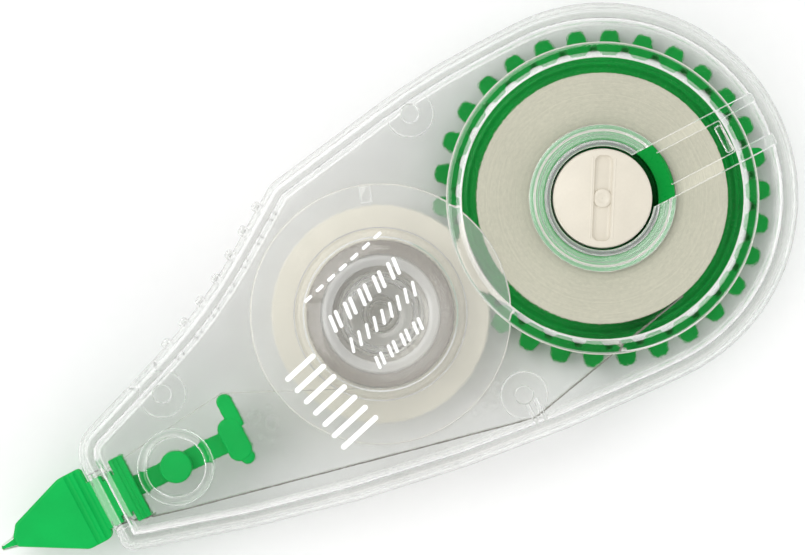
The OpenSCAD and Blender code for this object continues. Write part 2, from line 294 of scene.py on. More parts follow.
def turned(corners, at=(0, 0), steps=128, highlight_bands=(), flats=False):
    """Lathe-turned ring from radius, height and rounding; bands of radii get the painted highlight
    rim finish.
    """
    bm = bmesh.new()
    face = rounded_face(bm, corners)
    bmesh.ops.rotate(bm, cent=(0, 0, 0), matrix=Matrix.Rotation(math.pi / 2, 3, "X"),
                     verts=bm.verts)
    loop = list(face.edges)
    bmesh.ops.delete(bm, geom=[face], context="FACES_ONLY")
    bmesh.ops.spin(bm, geom=loop + list({v for e in loop for v in e.verts}), cent=(0, 0, 0),
                   axis=(0, 0, 1), angle=2 * math.pi, steps=steps, use_merge=True)
    bmesh.ops.remove_doubles(bm, verts=bm.verts, dist=0.0005)
    for f in bm.faces:
        centre = f.calc_center_median()
        # faces in these bands take slot 1, the painted highlight finish
        for inner, outer in highlight_bands:
            if (inner < math.hypot(centre.x, centre.y) < outer
                    and (flats or abs(f.normal.z) < 0.98)):
                f.material_index = 1
    bmesh.ops.recalc_face_normals(bm, faces=bm.faces)
    bmesh.ops.translate(bm, vec=(at[0], at[1], 0), verts=bm.verts)
    return blank(bm)


def pin(radius, bottom, top, at, high=0.1, low=0.0, steps=48, highlight_rim=-1):
    """Solid round pin with rounded ends; the rounded faces can take the slot of the painted
    highlight rim finish.
    """
    bm = bmesh.new()
    bmesh.ops.create_circle(bm, cap_ends=True, radius=radius, segments=steps)
    bmesh.ops.translate(bm, vec=(at[0], at[1], 0), verts=bm.verts)
    bm.faces.ensure_lookup_table()
    raise_face(bm, bm.faces[0], bottom, top)
    round_edges(bm, level_edges(bm, top), high, 3, highlight_rim)
    round_edges(bm, level_edges(bm, bottom), low, 3, highlight_rim)
    return blank(bm)


def bake_modifiers(obj):
    """The object's modifiers become its mesh."""
    graph = bpy.context.evaluated_depsgraph_get()
    mesh = bpy.data.meshes.new_from_object(obj.evaluated_get(graph), preserve_all_data_layers=True,
                                           depsgraph=graph)
    old = obj.data
    obj.modifiers.clear()
    obj.data = mesh
    bpy.data.meshes.remove(old)


def volume(mesh):
    bm = bmesh.new()
    bm.from_mesh(mesh)
    found = bm.calc_volume()
    bm.free()
    return found


def combine(base, others, how):
    """Joins others to base, cuts them from it or keeps what they share, one at a time."""
    for other in others:
        before, size = volume(base.data), volume(other.data)
        kept = base.data.copy()
        for care in ({}, {"use_self": True}, {"use_hole_tolerant": True},
                     {"use_self": True, "use_hole_tolerant": True}):
            step = base.modifiers.new(how.title(), "BOOLEAN")
            step.operation, step.solver, step.object = how, "EXACT", other
            for key, value in care.items():
                setattr(step, key, value)
            bake_modifiers(base)
            after = volume(base.data)
            least = {"UNION": max(before, size), "DIFFERENCE": before - size, "INTERSECT": 0}[how]
            most = {"UNION": before + size, "DIFFERENCE": before, "INTERSECT": size}[how]
            if least - 0.02 < after < most + 0.02 and after > 0:
                break
            base.data = kept.copy()
        else:
            raise RuntimeError(f"{how} of {base.name} and {other.name} failed")
        bpy.data.meshes.remove(kept)
        mesh = other.data
        bpy.data.objects.remove(other)
        bpy.data.meshes.remove(mesh)
    return base


def finished(obj, name, body, materials, nodes, crease=32, even=True):
    """Names the piece, brings it to metres, smooths it up to a crease angle and binds it."""
    bm = bmesh.new()
    bm.from_mesh(obj.data)
    bmesh.ops.remove_doubles(bm, verts=bm.verts, dist=0.0008)
    bmesh.ops.dissolve_degenerate(bm, edges=bm.edges, dist=0.0005)
    bm.to_mesh(obj.data)
    bm.free()
    obj.data.transform(Matrix.Scale(MM, 4))
    obj.name = obj.data.name = name
    for i, material in enumerate(materials):
        obj.data.materials[i] = material
    while len(obj.data.materials) > len(materials):
        obj.data.materials.pop()
    obj.data.shade_smooth()
    obj.data.set_sharp_from_angle(angle=math.radians(crease))
    if even:
        step = obj.modifiers.new("Even Shading", "WEIGHTED_NORMAL")
        step.keep_sharp = True
        bake_modifiers(obj)
        obj.data.name = name
    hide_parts(*nodes)
    if body:
        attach(obj, body)
    return obj


# ---------------------------------------------------------------- finishes


def plug(tree, socket, value):
    """Links a socket to another one, or gives it a plain value."""
    if isinstance(value, bpy.types.NodeSocket):
        tree.links.new(value, socket)
    else:
        socket.default_value = value


def feed(tree, made, **values):
    """Links or sets a node's input sockets by name, with _ for a space."""
    for key, value in values.items():
        plug(tree, made.inputs[key.replace("_", " ")], value)
    return made


def node(tree, kind, settings=None, **values):
    """Adds a node; settings are its properties and values its input sockets."""
    made = tree.nodes.new(kind)
    for key, value in (settings or {}).items():
        setattr(made, key, value)
    return feed(tree, made, **values)


def math_node(tree, how, a, b, clamp=False):
    made = node(tree, "ShaderNodeMath", {"operation": how, "use_clamp": clamp})
    for socket, value in zip(made.inputs, (a, b)):
        plug(tree, socket, value)
    return made.outputs[0]


def product(tree, a, b, clamp=False):
    return math_node(tree, "MULTIPLY", a, b, clamp)


def weighted(tree, a, share, b, other):
    """Sum of two masks, each times its share."""
    return math_node(tree, "ADD", product(tree, a, share), product(tree, b, other))


def ranged(tree, value, lo, hi, new_lo=0.0, new_hi=1.0):
    """Value moved from one range to another and kept within it."""
    return node(tree, "ShaderNodeMapRange", Value=value, From_Min=lo, From_Max=hi, To_Min=new_lo,
                To_Max=new_hi).outputs["Result"]


def noise(tree, vector, scale, detail, roughness=0.5, distortion=0.0):
    return node(tree, "ShaderNodeTexNoise", Vector=vector, Scale=scale, Detail=detail,
                Roughness=roughness, Distortion=distortion).outputs["Fac"]


def add_group(name, inputs, outputs):
    """Node group that takes a Vector and named numbers and puts out named masks."""
    group = bpy.data.node_groups.new(name, "ShaderNodeTree")
    group.interface.new_socket(name="Vector", in_out="INPUT", socket_type="NodeSocketVector")
    for label, default in inputs.items():
        group.interface.new_socket(name=label, in_out="INPUT",
                                   socket_type="NodeSocketFloat").default_value = default
    for label in outputs:
        group.interface.new_socket(name=label, in_out="OUTPUT", socket_type="NodeSocketFloat")
    return group, group.nodes.new("NodeGroupInput").outputs, group.nodes.new("NodeGroupOutput")


def moulded_group():
    """Fine grain and slow flow marks of a moulded surface."""
    group, given, end = add_group("Moulded Grain", {"Flow Size": 1.0}, ["Tone", "Grain", "Height"])
    fine = noise(group, given["Vector"], GRAIN_SCALE, 4.0, 0.6)
    slow = noise(group, given["Vector"], math_node(group, "DIVIDE", FLOW_SCALE, given["Flow Size"]),
                 3.0, distortion=0.8)
    feed(group, end, Tone=weighted(group, slow, 0.72, fine, 0.28), Grain=fine,
         Height=math_node(group, "ADD", product(group, fine, 0.25), slow))
    return group


def wound_group():
    """Edges of many wound layers, seen as fine rings round the piece's axle."""
    group, given, end = add_group("Wound Layers", {"Layers per mm": 8.0, "Unevenness": 1.0},
                                  ["Tone", "Height"])
    split = node(group, "ShaderNodeSeparateXYZ", Vector=given["Vector"]).outputs
    x, y = split["X"], split["Y"]
    radius = math_node(group, "SQRT", weighted(group, x, x, y, y), 0.0)
    turn = math_node(group, "ARCTAN2", y, x)
    sway = noise(group, given["Vector"], SWAY_SCALE, 2.0)
    winding = weighted(group, radius, 1 / MM, sway, 0.12)
    bands = node(group, "ShaderNodeTexNoise", {"noise_dimensions": "1D"},
                 W=product(group, winding, given["Layers per mm"]), Scale=1.0, Detail=3.0,
                 Roughness=0.7).outputs["Fac"]
    streak = node(group, "ShaderNodeCombineXYZ", X=product(group, radius, 2600.0),
                  Y=product(group, turn, 5.0)).outputs["Vector"]
    mixed = weighted(group, bands, 0.5, noise(group, streak, 2.2, 4.0, 0.65), 0.5)
    uneven = product(group, math_node(group, "SUBTRACT", mixed, 0.5), given["Unevenness"])
    feed(group, end, Tone=math_node(group, "ADD", uneven, 0.5, True), Height=mixed)
    return group


def scuff_group():
    """Hair scratches and rubbed spots that handling leaves."""
    group, given, end = add_group("Handling Scuffs", {"Amount": 0.5}, ["Mask"])
    masks = []
    for angle, stretch in ((0.5, 14.0), (-0.9, 18.0)):
        lay = node(group, "ShaderNodeMapping", Vector=given["Vector"], Rotation=(0, 0, angle),
                   Scale=(1.0, stretch, 1.0)).outputs["Vector"]
        masks.append(ranged(group, noise(group, lay, SCRATCH_SCALE, 2.0, 0.55), 0.66, 0.72))
    spots = ranged(group, noise(group, given["Vector"], RUBBED_SCALE, 3.0), 0.45, 0.7)
    both = product(group, math_node(group, "MAXIMUM", *masks), spots)
    feed(group, end, Mask=product(group, both, given["Amount"], True))
    return group


GROUPS = {"Moulded Grain": moulded_group, "Wound Layers": wound_group,
          "Handling Scuffs": scuff_group}


def placed(tree, name, vector, **values):
    """Outputs of a shared node group, which is built the first time it is placed."""
    made = node(tree, "ShaderNodeGroup",
                {"node_tree": bpy.data.node_groups.get(name) or GROUPS[name]()})
    return feed(tree, made, Vector=vector, **values).outputs


def new_material(name, centre=(0.0, 0.0)):
    """Material with a Principled surface and object coordinates centred on an axle."""
    made = bpy.data.materials.new(name)
    made.use_nodes = True
    tree = made.node_tree
    surface = [n for n in tree.nodes if n.type == "BSDF_PRINCIPLED"][0]
    spot = node(tree, "ShaderNodeTexCoord").outputs["Object"]
    if centre != (0.0, 0.0):
        spot = node(tree, "ShaderNodeMapping", Vector=spot,
                    Location=(-centre[0] * MM, -centre[1] * MM, 0)).outputs["Vector"]
    return made, tree, surface, spot


def times(rgb, factor):
    return tuple(min(1.0, c * factor) for c in rgb)


def shade(tree, mask, first, second):
    """Colour that goes from the first to the second with a mask; each is plain or a socket."""
    made = node(tree, "ShaderNodeMix", {"data_type": "RGBA"})
    plug(tree, made.inputs[0], mask)
    for place, value in ((6, first), (7, second)):
        plug(tree, made.inputs[place], (*value, 1) if isinstance(value, tuple) else value)
    return made.outputs[2]


def varied(tree, mask, rgb, spread, lo=0.3, hi=0.7):
    """Colour that varies both ways by spread as a mask goes from lo to hi."""
    return shade(tree, ranged(tree, mask, lo, hi), times(rgb, 1 - spread), times(rgb, 1 + spread))


def rubbed(tree, grain, scuff, lo, hi, worn):
    """Roughness between lo and hi with the grain, and up to worn more on scuffs."""
    return math_node(tree, "ADD", ranged(tree, grain["Grain"], 0.3, 0.7, lo, hi),
                     product(tree, scuff, worn), True)


def set_bump(tree, surface, height, strength, distance):
    bump = node(tree, "ShaderNodeBump", Strength=strength, Distance=distance, Height=height)
    feed(tree, surface, Normal=bump.outputs["Normal"])


def solid_plastic(name, rgb, roughness, specular, spread, scuffs=0.25):
    """Opaque moulded plastic with flow marks, fine grain and light scuffs."""
    made, tree, surface, spot = new_material(name)
    grain = placed(tree, "Moulded Grain", spot)
    scuff = placed(tree, "Handling Scuffs", spot, Amount=scuffs)["Mask"]
    paler = tuple(min(1.0, c * 0.8 + 0.16) for c in rgb)
    feed(tree, surface,
         Base_Color=shade(tree, product(tree, scuff, 0.35),
                          varied(tree, grain["Tone"], rgb, spread), paler),
         Roughness=rubbed(tree, grain, scuff, roughness - 0.05, roughness + 0.06, 0.2),
         Specular_IOR_Level=specular, IOR=1.5)
    set_bump(tree, surface, grain["Height"], 0.25, 0.03 * MM)
    return made


def clear_plastic(name, rgb, frost_and_highlight=0.0, shadow=0.985, waves=0.14, roughness=0.03):
    """Clear styrene: frost whitens it, and on the rim finishes that whitening is a painted
    highlight; lamps shine through it.
    """
    made, tree, surface, spot = new_material(name)
    grain = placed(tree, "Moulded Grain", spot, Flow_Size=1.6)
    scuff = placed(tree, "Handling Scuffs", spot, Amount=0.3)["Mask"]
    feed(tree, surface, Base_Color=varied(tree, grain["Tone"], rgb, 0.03),
         Roughness=rubbed(tree, grain, scuff, roughness * 0.5, roughness * 1.5, 0.22),
         IOR=1.55, Transmission_Weight=1.0 - frost_and_highlight)
    set_bump(tree, surface, grain["Height"], waves, 0.12 * MM)
    through = node(tree, "ShaderNodeBsdfTransparent", Color=(shadow, shadow, shadow, 1))
    path = node(tree, "ShaderNodeLightPath").outputs
    lamp = math_node(tree, "MAXIMUM", path["Is Shadow Ray"], path["Is Diffuse Ray"])
    mix = node(tree, "ShaderNodeMixShader")
    for socket, value in zip(mix.inputs, (lamp, surface.outputs[0], through.outputs[0])):
        plug(tree, socket, value)
    out = [n for n in tree.nodes if n.type == "OUTPUT_MATERIAL"][0]
    feed(tree, out, Surface=mix.outputs[0])
    return made


def wound_material(name, rgb, centre, layers, uneven, roughness, spread):
    """Edge of a wound roll, with rings of slightly uneven layers."""
    made, tree, surface, spot = new_material(name, centre)
    rings = placed(tree, "Wound Layers", spot, Layers_per_mm=layers, Unevenness=uneven)
    grain = placed(tree, "Moulded Grain", spot, Flow_Size=2.5)
    tone = weighted(tree, rings["Tone"], 0.65, grain["Grain"], 0.35)
    feed(tree, surface, Base_Color=varied(tree, tone, rgb, spread, 0.4, 0.6),
         Roughness=ranged(tree, rings["Height"], 0.3, 0.7, roughness - 0.1, roughness + 0.1),
         Specular_IOR_Level=0.35)
    set_bump(tree, surface, rings["Height"], 0.35, 0.08 * MM)
    return made


# Finishes of the case: how much paler than its tint, and the rest of the look; the rim and the
# collar finishes are painted highlight, whitened and paler to stand in for the bright edge lines
# that light makes in clear styrene
CASE_FINISHES = {
    "Clear Case Styrene": (1.0, {}),
    "Clear Case Rim Painted Highlight": (1.03, {"frost_and_highlight": 0.2, "waves": 0.06, "roughness": 0.08}),
    "Clear Case Collar Painted Highlight": (1.04, {"frost_and_highlight": 0.13, "waves": 0.03, "roughness": 0.06})}


def case_finishes(count):
    """The first of the case's finishes, which are built the first time they are used."""
    tint = bpy.context.scene.roller_case.tint
    return [bpy.data.materials.get(name) or clear_plastic(name, times(tint, factor), **look)
            for name, (factor, look) in list(CASE_FINISHES.items())[:count]]


# ---------------------------------------------------------------- pieces


def box_corners(x, y, radius=0.1):
    return [(x[0], y[0], radius), (x[1], y[0], radius), (x[1], y[1], radius), (x[0], y[1], radius)]


def ring(inner, outer, bottom, top, edge=0.06):
    """Corners of a plain turned ring."""
    return [(inner, bottom, edge), (outer, bottom, edge), (outer, top, edge), (inner, top, edge)]


def grip_rib_spots(count, pitch=2.1, shift=2.6):
    """Places of the thumb grip's ribs along the hollow and the straight stretch of the wall."""
    c = CASE[6]
    into = Vector((c[0] - CASE[5][0], c[1] - CASE[5][1])).normalized()
    away = Vector((CASE[7][0] - c[0], CASE[7][1] - c[1])).normalized()
    mid = math.atan2(into.y + away.y, into.x + away.x) + math.pi / 2
    half_turn = math.acos(into.dot(away)) / 2
    reach = c[2] / math.cos(half_turn)
    centre = Vector((c[0] - math.cos(mid) * reach, c[1] - math.sin(mid) * reach))
    spots = []
    for i in range(count):
        along = shift + (i - (count - 1) / 2) * pitch
        a = mid + max(-half_turn, min(half_turn, along / c[2]))
        past = along - (a - mid) * c[2]
        spots.append((centre.x + c[2] * math.cos(a) - past * math.sin(a),
                      centre.y + c[2] * math.sin(a) + past * math.cos(a), a))
    return spots


def grip_ribs(count, bottom, top):
    """Rounded ribs on the thumb grip, shortened so that none enters the hollow of the case."""
    made = []
    for x, y, a in grip_rib_spots(count):
        bm = bmesh.new()
        bmesh.ops.create_cube(bm, size=1)
        bmesh.ops.scale(bm, vec=(0.86, 0.76, top - bottom), verts=bm.verts)
        # the ribs' rounded faces take slot 1, the painted highlight rim finish
        round_edges(bm, bm.edges[:], 0.22, 3, 1)
        bmesh.ops.rotate(bm, cent=(0, 0, 0), matrix=Matrix.Rotation(a, 3, "Z"), verts=bm.verts)
        bmesh.ops.translate(bm, vec=(x, y, (bottom + top) / 2), verts=bm.verts)
        made.append(blank(bm))
    return made


class ROLLER_OT_back_shell(bpy.types.Operator):
    """Back half of the clear case with its axles, posts and boss ring"""

    bl_idname = "roller.back_shell"
    bl_label = "Back Shell"

    def execute(self, context):
        s = context.scene.roller_case
        wall, plate = s.wall / MM, s.plate / MM
        body = prism(CASE, 0, SEAM, low=s.edge / MM, high=0.05, highlight_rim=1)
        lip = prism(CASE, SEAM - 0.5, LIP_TOP, high=0.08, inset=wall / 2 + 0.04, highlight_rim=1)
        combine(body, [lip], "UNION")
        hollow = prism(CASE, plate, SEAM + 2, low=0.6, inset=wall, highlight_rim=1)
        combine(body, [hollow, block(*MOUTH, 0.12)], "DIFFERENCE")
        posts = [pin(POST_R, plate - 0.3, TAPE_TOP + 0.3, p, 0.15, highlight_rim=1) for p in POSTS]
        keep = prism(CASE, 0.5, PLATE_TOP, inset=wall + 0.04)
        combine(keep, [prism(CASE, 0.5, SEAM - 0.01, inset=wall / 2)], "UNION")
        combine(posts[1], [keep], "INTERSECT")
        axles = [pin(2, plate - 0.3, 9.4, SUPPLY, 0.3, steps=64, highlight_rim=1),
                 turned([(0.02, plate - 0.3, 0.02), (1.4, plate - 0.3, 0.02), (1.4, 9.3, 0.25),
                         (1.0, 9.3, 0.05), (0.85, 9.05, 0.05), (0.02, 9.05, 0.02)], TAKE_UP, 64)]
        boss = turned(ring(*BOSS_R, plate - 0.3, TAPE_Z - 0.5, 0.12), BOSS, 72,
                      highlight_bands=ALL_ROUND)
        marks = [turned(ring(0.35, 0.6, plate - 0.2, plate + 0.3, 0.06), (x, y), 24,
                        highlight_bands=ALL_ROUND, flats=True)
                 for x, y in ((-12.4, -2.6), (-11.3, -3.6), (5.4, -9.4))]
        marks += [pin(0.28, plate - 0.2, plate + 0.25, (x, y), 0.08, steps=16, highlight_rim=1)
                  for x, y in ((-12.6, -4.2), (-11.0, -2.4), (-11.9, -4.9), (3.9, -9.9),
                              (4.5, -10.4), (2.9, -10.2))]
        combine(body, posts + axles + [boss] + marks, "UNION")
        combine(body, grip_ribs(s.ribs, 1, SEAM), "UNION")
        combine(body, [pin(0.8, 4, 12, p, 0, steps=32) for p in POSTS], "DIFFERENCE")
        finished(body, "case_back", "case", case_finishes(2), ["back_shell"])
        return {"FINISHED"}


class ROLLER_OT_front_shell(bpy.types.Operator):
    """Front half of the clear case with its bead, dial collar, slits, pins and ribs"""

    bl_idname = "roller.front_shell"
    bl_label = "Front Shell"

    def execute(self, context):
        s = context.scene.roller_case
        wall, plate = s.wall / MM, s.plate / MM
        seam, under = SEAM + 0.02, PLATE_TOP - plate
        body = prism(CASE, seam, PLATE_TOP, low=0.05, high=s.edge / MM, highlight_rim=1)
        combine(body, [prism(CASE, seam - 2, under, high=0.6, inset=wall, highlight_rim=1),
                       prism(CASE, seam - 2, LIP_TOP + 0.02, inset=wall / 2),
                       block(*MOUTH, 0.12)], "DIFFERENCE")
        # the bead's bands and the collar take painted highlight finishes that stand in for their
        # bright refraction lines
        bead = turned([(10.8, PLATE_TOP - 0.4, 0.02), (12, PLATE_TOP - 0.4, 0.02),
                       (12, PLATE_TOP + 0.4, 0.2), (11.25, PLATE_TOP + 0.4, 0.3),
                       (10.8, PLATE_TOP + 0.28, 0.24)], SUPPLY, 180,
                      highlight_bands=((10.7, 11.32), (11.78, 12.1)))
        collar = turned([(4, under - 0.4, 0.05), (5.65, under - 0.4, 0.1),
                         (5.65, PLATE_TOP + 0.2, 0.14), (5.3, PLATE_TOP + 0.2, 0.1),
                         (5.12, PLATE_TOP + 0.02, 0.05), (5.0, PLATE_TOP + 0.02, 0.05),
                         (4.88, PLATE_TOP + 0.14, 0.06), (4.72, PLATE_TOP + 0.14, 0.06),
                         (4.62, PLATE_TOP, 0.04), (4.42, PLATE_TOP, 0.04),
                         (4.32, PLATE_TOP + 0.12, 0.05), (4.0, PLATE_TOP + 0.12, 0.1)],
                        SUPPLY, 128, highlight_bands=((3.9, 5.7),), flats=True)
        for face in collar.data.polygons:  # from the painted highlight rim finish to the collar's painted highlight ring
            face.material_index *= 2
        combine(body, [bead, collar], "UNION")
        x0, x1 = TONGUE_LO.x, TONGUE_HI.x
        y0, y1 = TONGUE_LO.y - 0.05, TONGUE_HI.y + 0.05
        cuts = [pin(3.98, under - 1, PLATE_TOP + 2, SUPPLY, 0, steps=96)]
        for y in ((SLIT_Y[0], y0), (y1, SLIT_Y[1])):
            slit = box_corners((SUPPLY[0] + 3, SUPPLY[0] + 13.75), y, 0.12)
            cuts.append(prism(slit, under - 1, PLATE_TOP + 0.02))
            # the slits' chamfers take slot 1, the painted highlight rim finish, for the bright
            # lines at the slit edges
            cuts.append(prism(slit, PLATE_TOP - 0.11, PLATE_TOP + 0.02, low=0.1, inset=-0.11,
                              highlight_rim=1))
        cuts.append(block((SUPPLY[0] + 3, x1 + 0.05), (y0 - 0.1, y1 + 0.1),
                          (under - 1, PLATE_TOP + 0.02)))
        cuts.append(block((SUPPLY[0] + 3, SUPPLY[0] + 6), SLIT_Y,
                          (PLATE_TOP - 0.5, PLATE_TOP + 1)))
        combine(body, cuts, "DIFFERENCE")
        pins = [pin(0.75, 6.5, under + 0.2, p, 0, 0.12, 32, highlight_rim=1) for p in POSTS]
        boss = turned(ring(*BOSS_R, TAPE_TOP + 1.05, under + 0.2, 0.12), BOSS, 72,
                      highlight_bands=ALL_ROUND)
        ribs = [block((x, x + 0.36), (-13.8, -11.2), (TAPE_TOP + 0.6, under + 0.2), 0.1, 1)
                for x in (6.6, 7.3)]
        combine(body, pins + [boss] + ribs, "UNION")
        combine(body, grip_ribs(s.ribs, seam, PLATE_TOP - 0.4), "UNION")
        finished(body, "case_front", "case", case_finishes(3), ["front_shell"])
        return {"FINISHED"}


class ROLLER_OT_click_tongue(bpy.types.Operator):
    """Springy strip between the two slits of the front plate, with its root block"""

    bl_idname = "roller.click_tongue"
    bl_label = "Click Tongue"

    def execute(self, context):
        lo, hi = TONGUE_LO, TONGUE_HI
        under = PLATE_TOP - context.scene.roller_case.plate / MM
        strip = prism(box_corners((lo.x - 0.25, hi.x), (lo.y, hi.y), 0.15), under, PLATE_TOP,
                      0.1, 0.1, highlight_rim=1)
        stop = block((hi.x - 0.65, hi.x - 0.05), (-1.4, 0.85), (lo.z, under + 0.1), 0.14, 1)
        combine(strip, [pin(5.38, under - 1, PLATE_TOP + 1, SUPPLY, 0, steps=96)], "DIFFERENCE")
        combine(strip, [stop], "UNION")
        finished(strip, "click_tongue_strip", "tongue", case_finishes(2),
                 ["click_tongue"])
        return {"FINISHED"}


def tooth_corners(teeth, module, phase, root_half, tip_half, tip_round):
    """Rounded corners of a toothed rim, from half of a tooth's width at its root and at its tip."""
    pitch = teeth * module / 2
    root, top = pitch - 1.05 * module, pitch + 0.95 * module
    corners = []
    for k in range(teeth):
        turn = phase + k * 2 * math.pi / teeth
        for radius, half, rounding in ((root, -root_half, 0.2), (top, -tip_half, tip_round),
                                       (top, tip_half, tip_round), (root, root_half, 0.2)):
            corners.append((*on_circle((0, 0), radius, turn + half / radius), rounding))
    return corners


def moved(obj, at, turn=0.0):
    """The object's mesh turned about Z and then moved, in millimetres."""
    obj.data.transform(Matrix.Translation((*at, 0)) @ Matrix.Rotation(turn, 4, "Z"))
    return obj


def toothed_disc(corners, bottom, top, at):
    """Toothed disc, centred on its axle."""
    return moved(prism(corners, bottom, top, 0.08, 0.12, segments=2), at)


def gear_module(s):
    return 2 * SUPPLY[0] / (s.teeth + s.small_teeth)


class ROLLER_OT_supply_wheel(bpy.types.Operator):
    """Green supply wheel: toothed disc, carrying flange and hub in one moulding"""

    bl_idname = "roller.supply_wheel"
    bl_label = "Supply Wheel"

    def execute(self, context):
        s = context.scene.roller_wheels
        top, flange = WEB_Z + 1.77, TAPE_Z - 0.2
        wheel = toothed_disc(tooth_corners(s.teeth, gear_module(s), s.tooth_turn, 0.98, 0.6, 0.5),
                             WEB_Z, top, SUPPLY)
        web = turned([(3.7, WEB_Z + 0.02, 0.02), (11.8, WEB_Z + 0.02, 0.04),
                      (11.8, WEB_Z + 0.21, 0.04), (3.7, WEB_Z + 0.21, 0.02)], SUPPLY, 144)
        body = turned([(3.7, WEB_Z + 0.6, 0.02), (10.5, WEB_Z + 0.6, 0.02),
                       (10.6, flange, 0.12), (10.3, flange, 0.08),
                       (10.2, flange - 0.12, 0.04), (10.0, flange - 0.12, 0.04),
                       (9.95, flange, 0.05), (HUB_R, flange, 0.1),
                       (HUB_R, HUB_LIP_Z, 0.04), (CORE_R, HUB_LIP_Z, 0.04), (CORE_R, 9.5, 0.12),
                       (4.3, 9.5, 0.06), (4.25, 6.4, 0.05), (3.7, 6.4, 0.02)], SUPPLY, 144)
        combine(wheel, [web, body], "UNION")
        combine(wheel, [pin(3.86, 0, 12, SUPPLY, 0, steps=96)], "DIFFERENCE")
        green = solid_plastic("Wheel Green Acetal", s.green, 0.3, 0.15, 0.1, 0.1)
        finished(wheel, "supply_wheel_green", "supply_wheel", [green],
                 ["supply_gear"])
        return {"FINISHED"}


class ROLLER_OT_supply_reel(bpy.types.Operator):
    """Clear core, wound tape and tension dial on the supply axle"""

    bl_idname = "roller.supply_reel"
    bl_label = "Supply Reel"

    def execute(self, context):
        s, t = context.scene.roller_wheels, context.scene.roller_tape
        clear = clear_plastic("Core Clear Styrene", s.clear, 0.08)
        bore, top = HUB_R + RUN, HUB_LIP_Z - RUN
        core = turned([(bore, TAPE_Z - 0.05, 0.04), (CORE_R, TAPE_Z - 0.05, 0.04),
                       (CORE_R, top, 0.08), (bore, top, 0.08)], SUPPLY, 128)
        finished(core, "spool_core", "supply_reel", [clear], ["tape_core"])

        radius = half_width("tape_roll")
        roll = turned([(5.61, TAPE_Z, 0.03), (radius, TAPE_Z, 0.06), (radius, TAPE_TOP, 0.06),
                       (8.4, TAPE_TOP - 0.02, 0.5), (7.1, TAPE_TOP - 0.01, 0.5),
                       (6.2, TAPE_TOP - 0.03, 0.3), (5.61, TAPE_TOP, 0.03)], SUPPLY, 180)
        paper = wound_material("Wound Tape Edge", t.tape, SUPPLY, 9.0, 1.2, 0.62, 0.08)
        finished(roll, "wound_tape", "supply_reel", [paper], ["tape_roll"])

        dial_r = half_width("tension_dial")
        knob = turned([(2.06, GEAR_Z - 0.1, 0.05), (dial_r, GEAR_Z - 0.1, 0.1),
                       (dial_r, DIAL_TOP - 0.1, 0.1), (dial_r - 0.12, DIAL_TOP, 0.1),
                       (0.03, DIAL_TOP, 0.01), (0.03, 9.7, 0.01), (2.06, 9.7, 0.05)], SUPPLY, 128)
        slot = prism(box_corners((-3.3, 3.3), (-0.7, 0.7), 0.5), DIAL_TOP - 0.34, DIAL_TOP + 1,
                     low=0.3)
        combine(knob, [moved(slot, SUPPLY, SLOT_TURN)], "DIFFERENCE")
        pip = turned([(0.02, DIAL_TOP - 0.5, 0.01), (0.72, DIAL_TOP - 0.5, 0.02),
                      (0.72, DIAL_TOP - 0.16, 0.1), (0.45, DIAL_TOP - 0.16, 0.06),
                      (0.3, DIAL_TOP - 0.24, 0.06), (0.02, DIAL_TOP - 0.24, 0.01)], SUPPLY, 48)
        lips = [moved(block((-3.2, 3.2), (y - 0.13, y + 0.13), (DIAL_TOP - 0.21, DIAL_TOP + 0.04),
                            0.12), SUPPLY, SLOT_TURN)
                for y in (-0.86, 0.86)]
        combine(knob, [pip] + lips, "UNION")
        cream = solid_plastic("Dial Cream Acetal", s.dial, 0.34, 0.4, 0.05)
        finished(knob, "tension_dial_knob", "supply_reel", [cream],
                 ["tension_dial"])
        return {"FINISHED"}


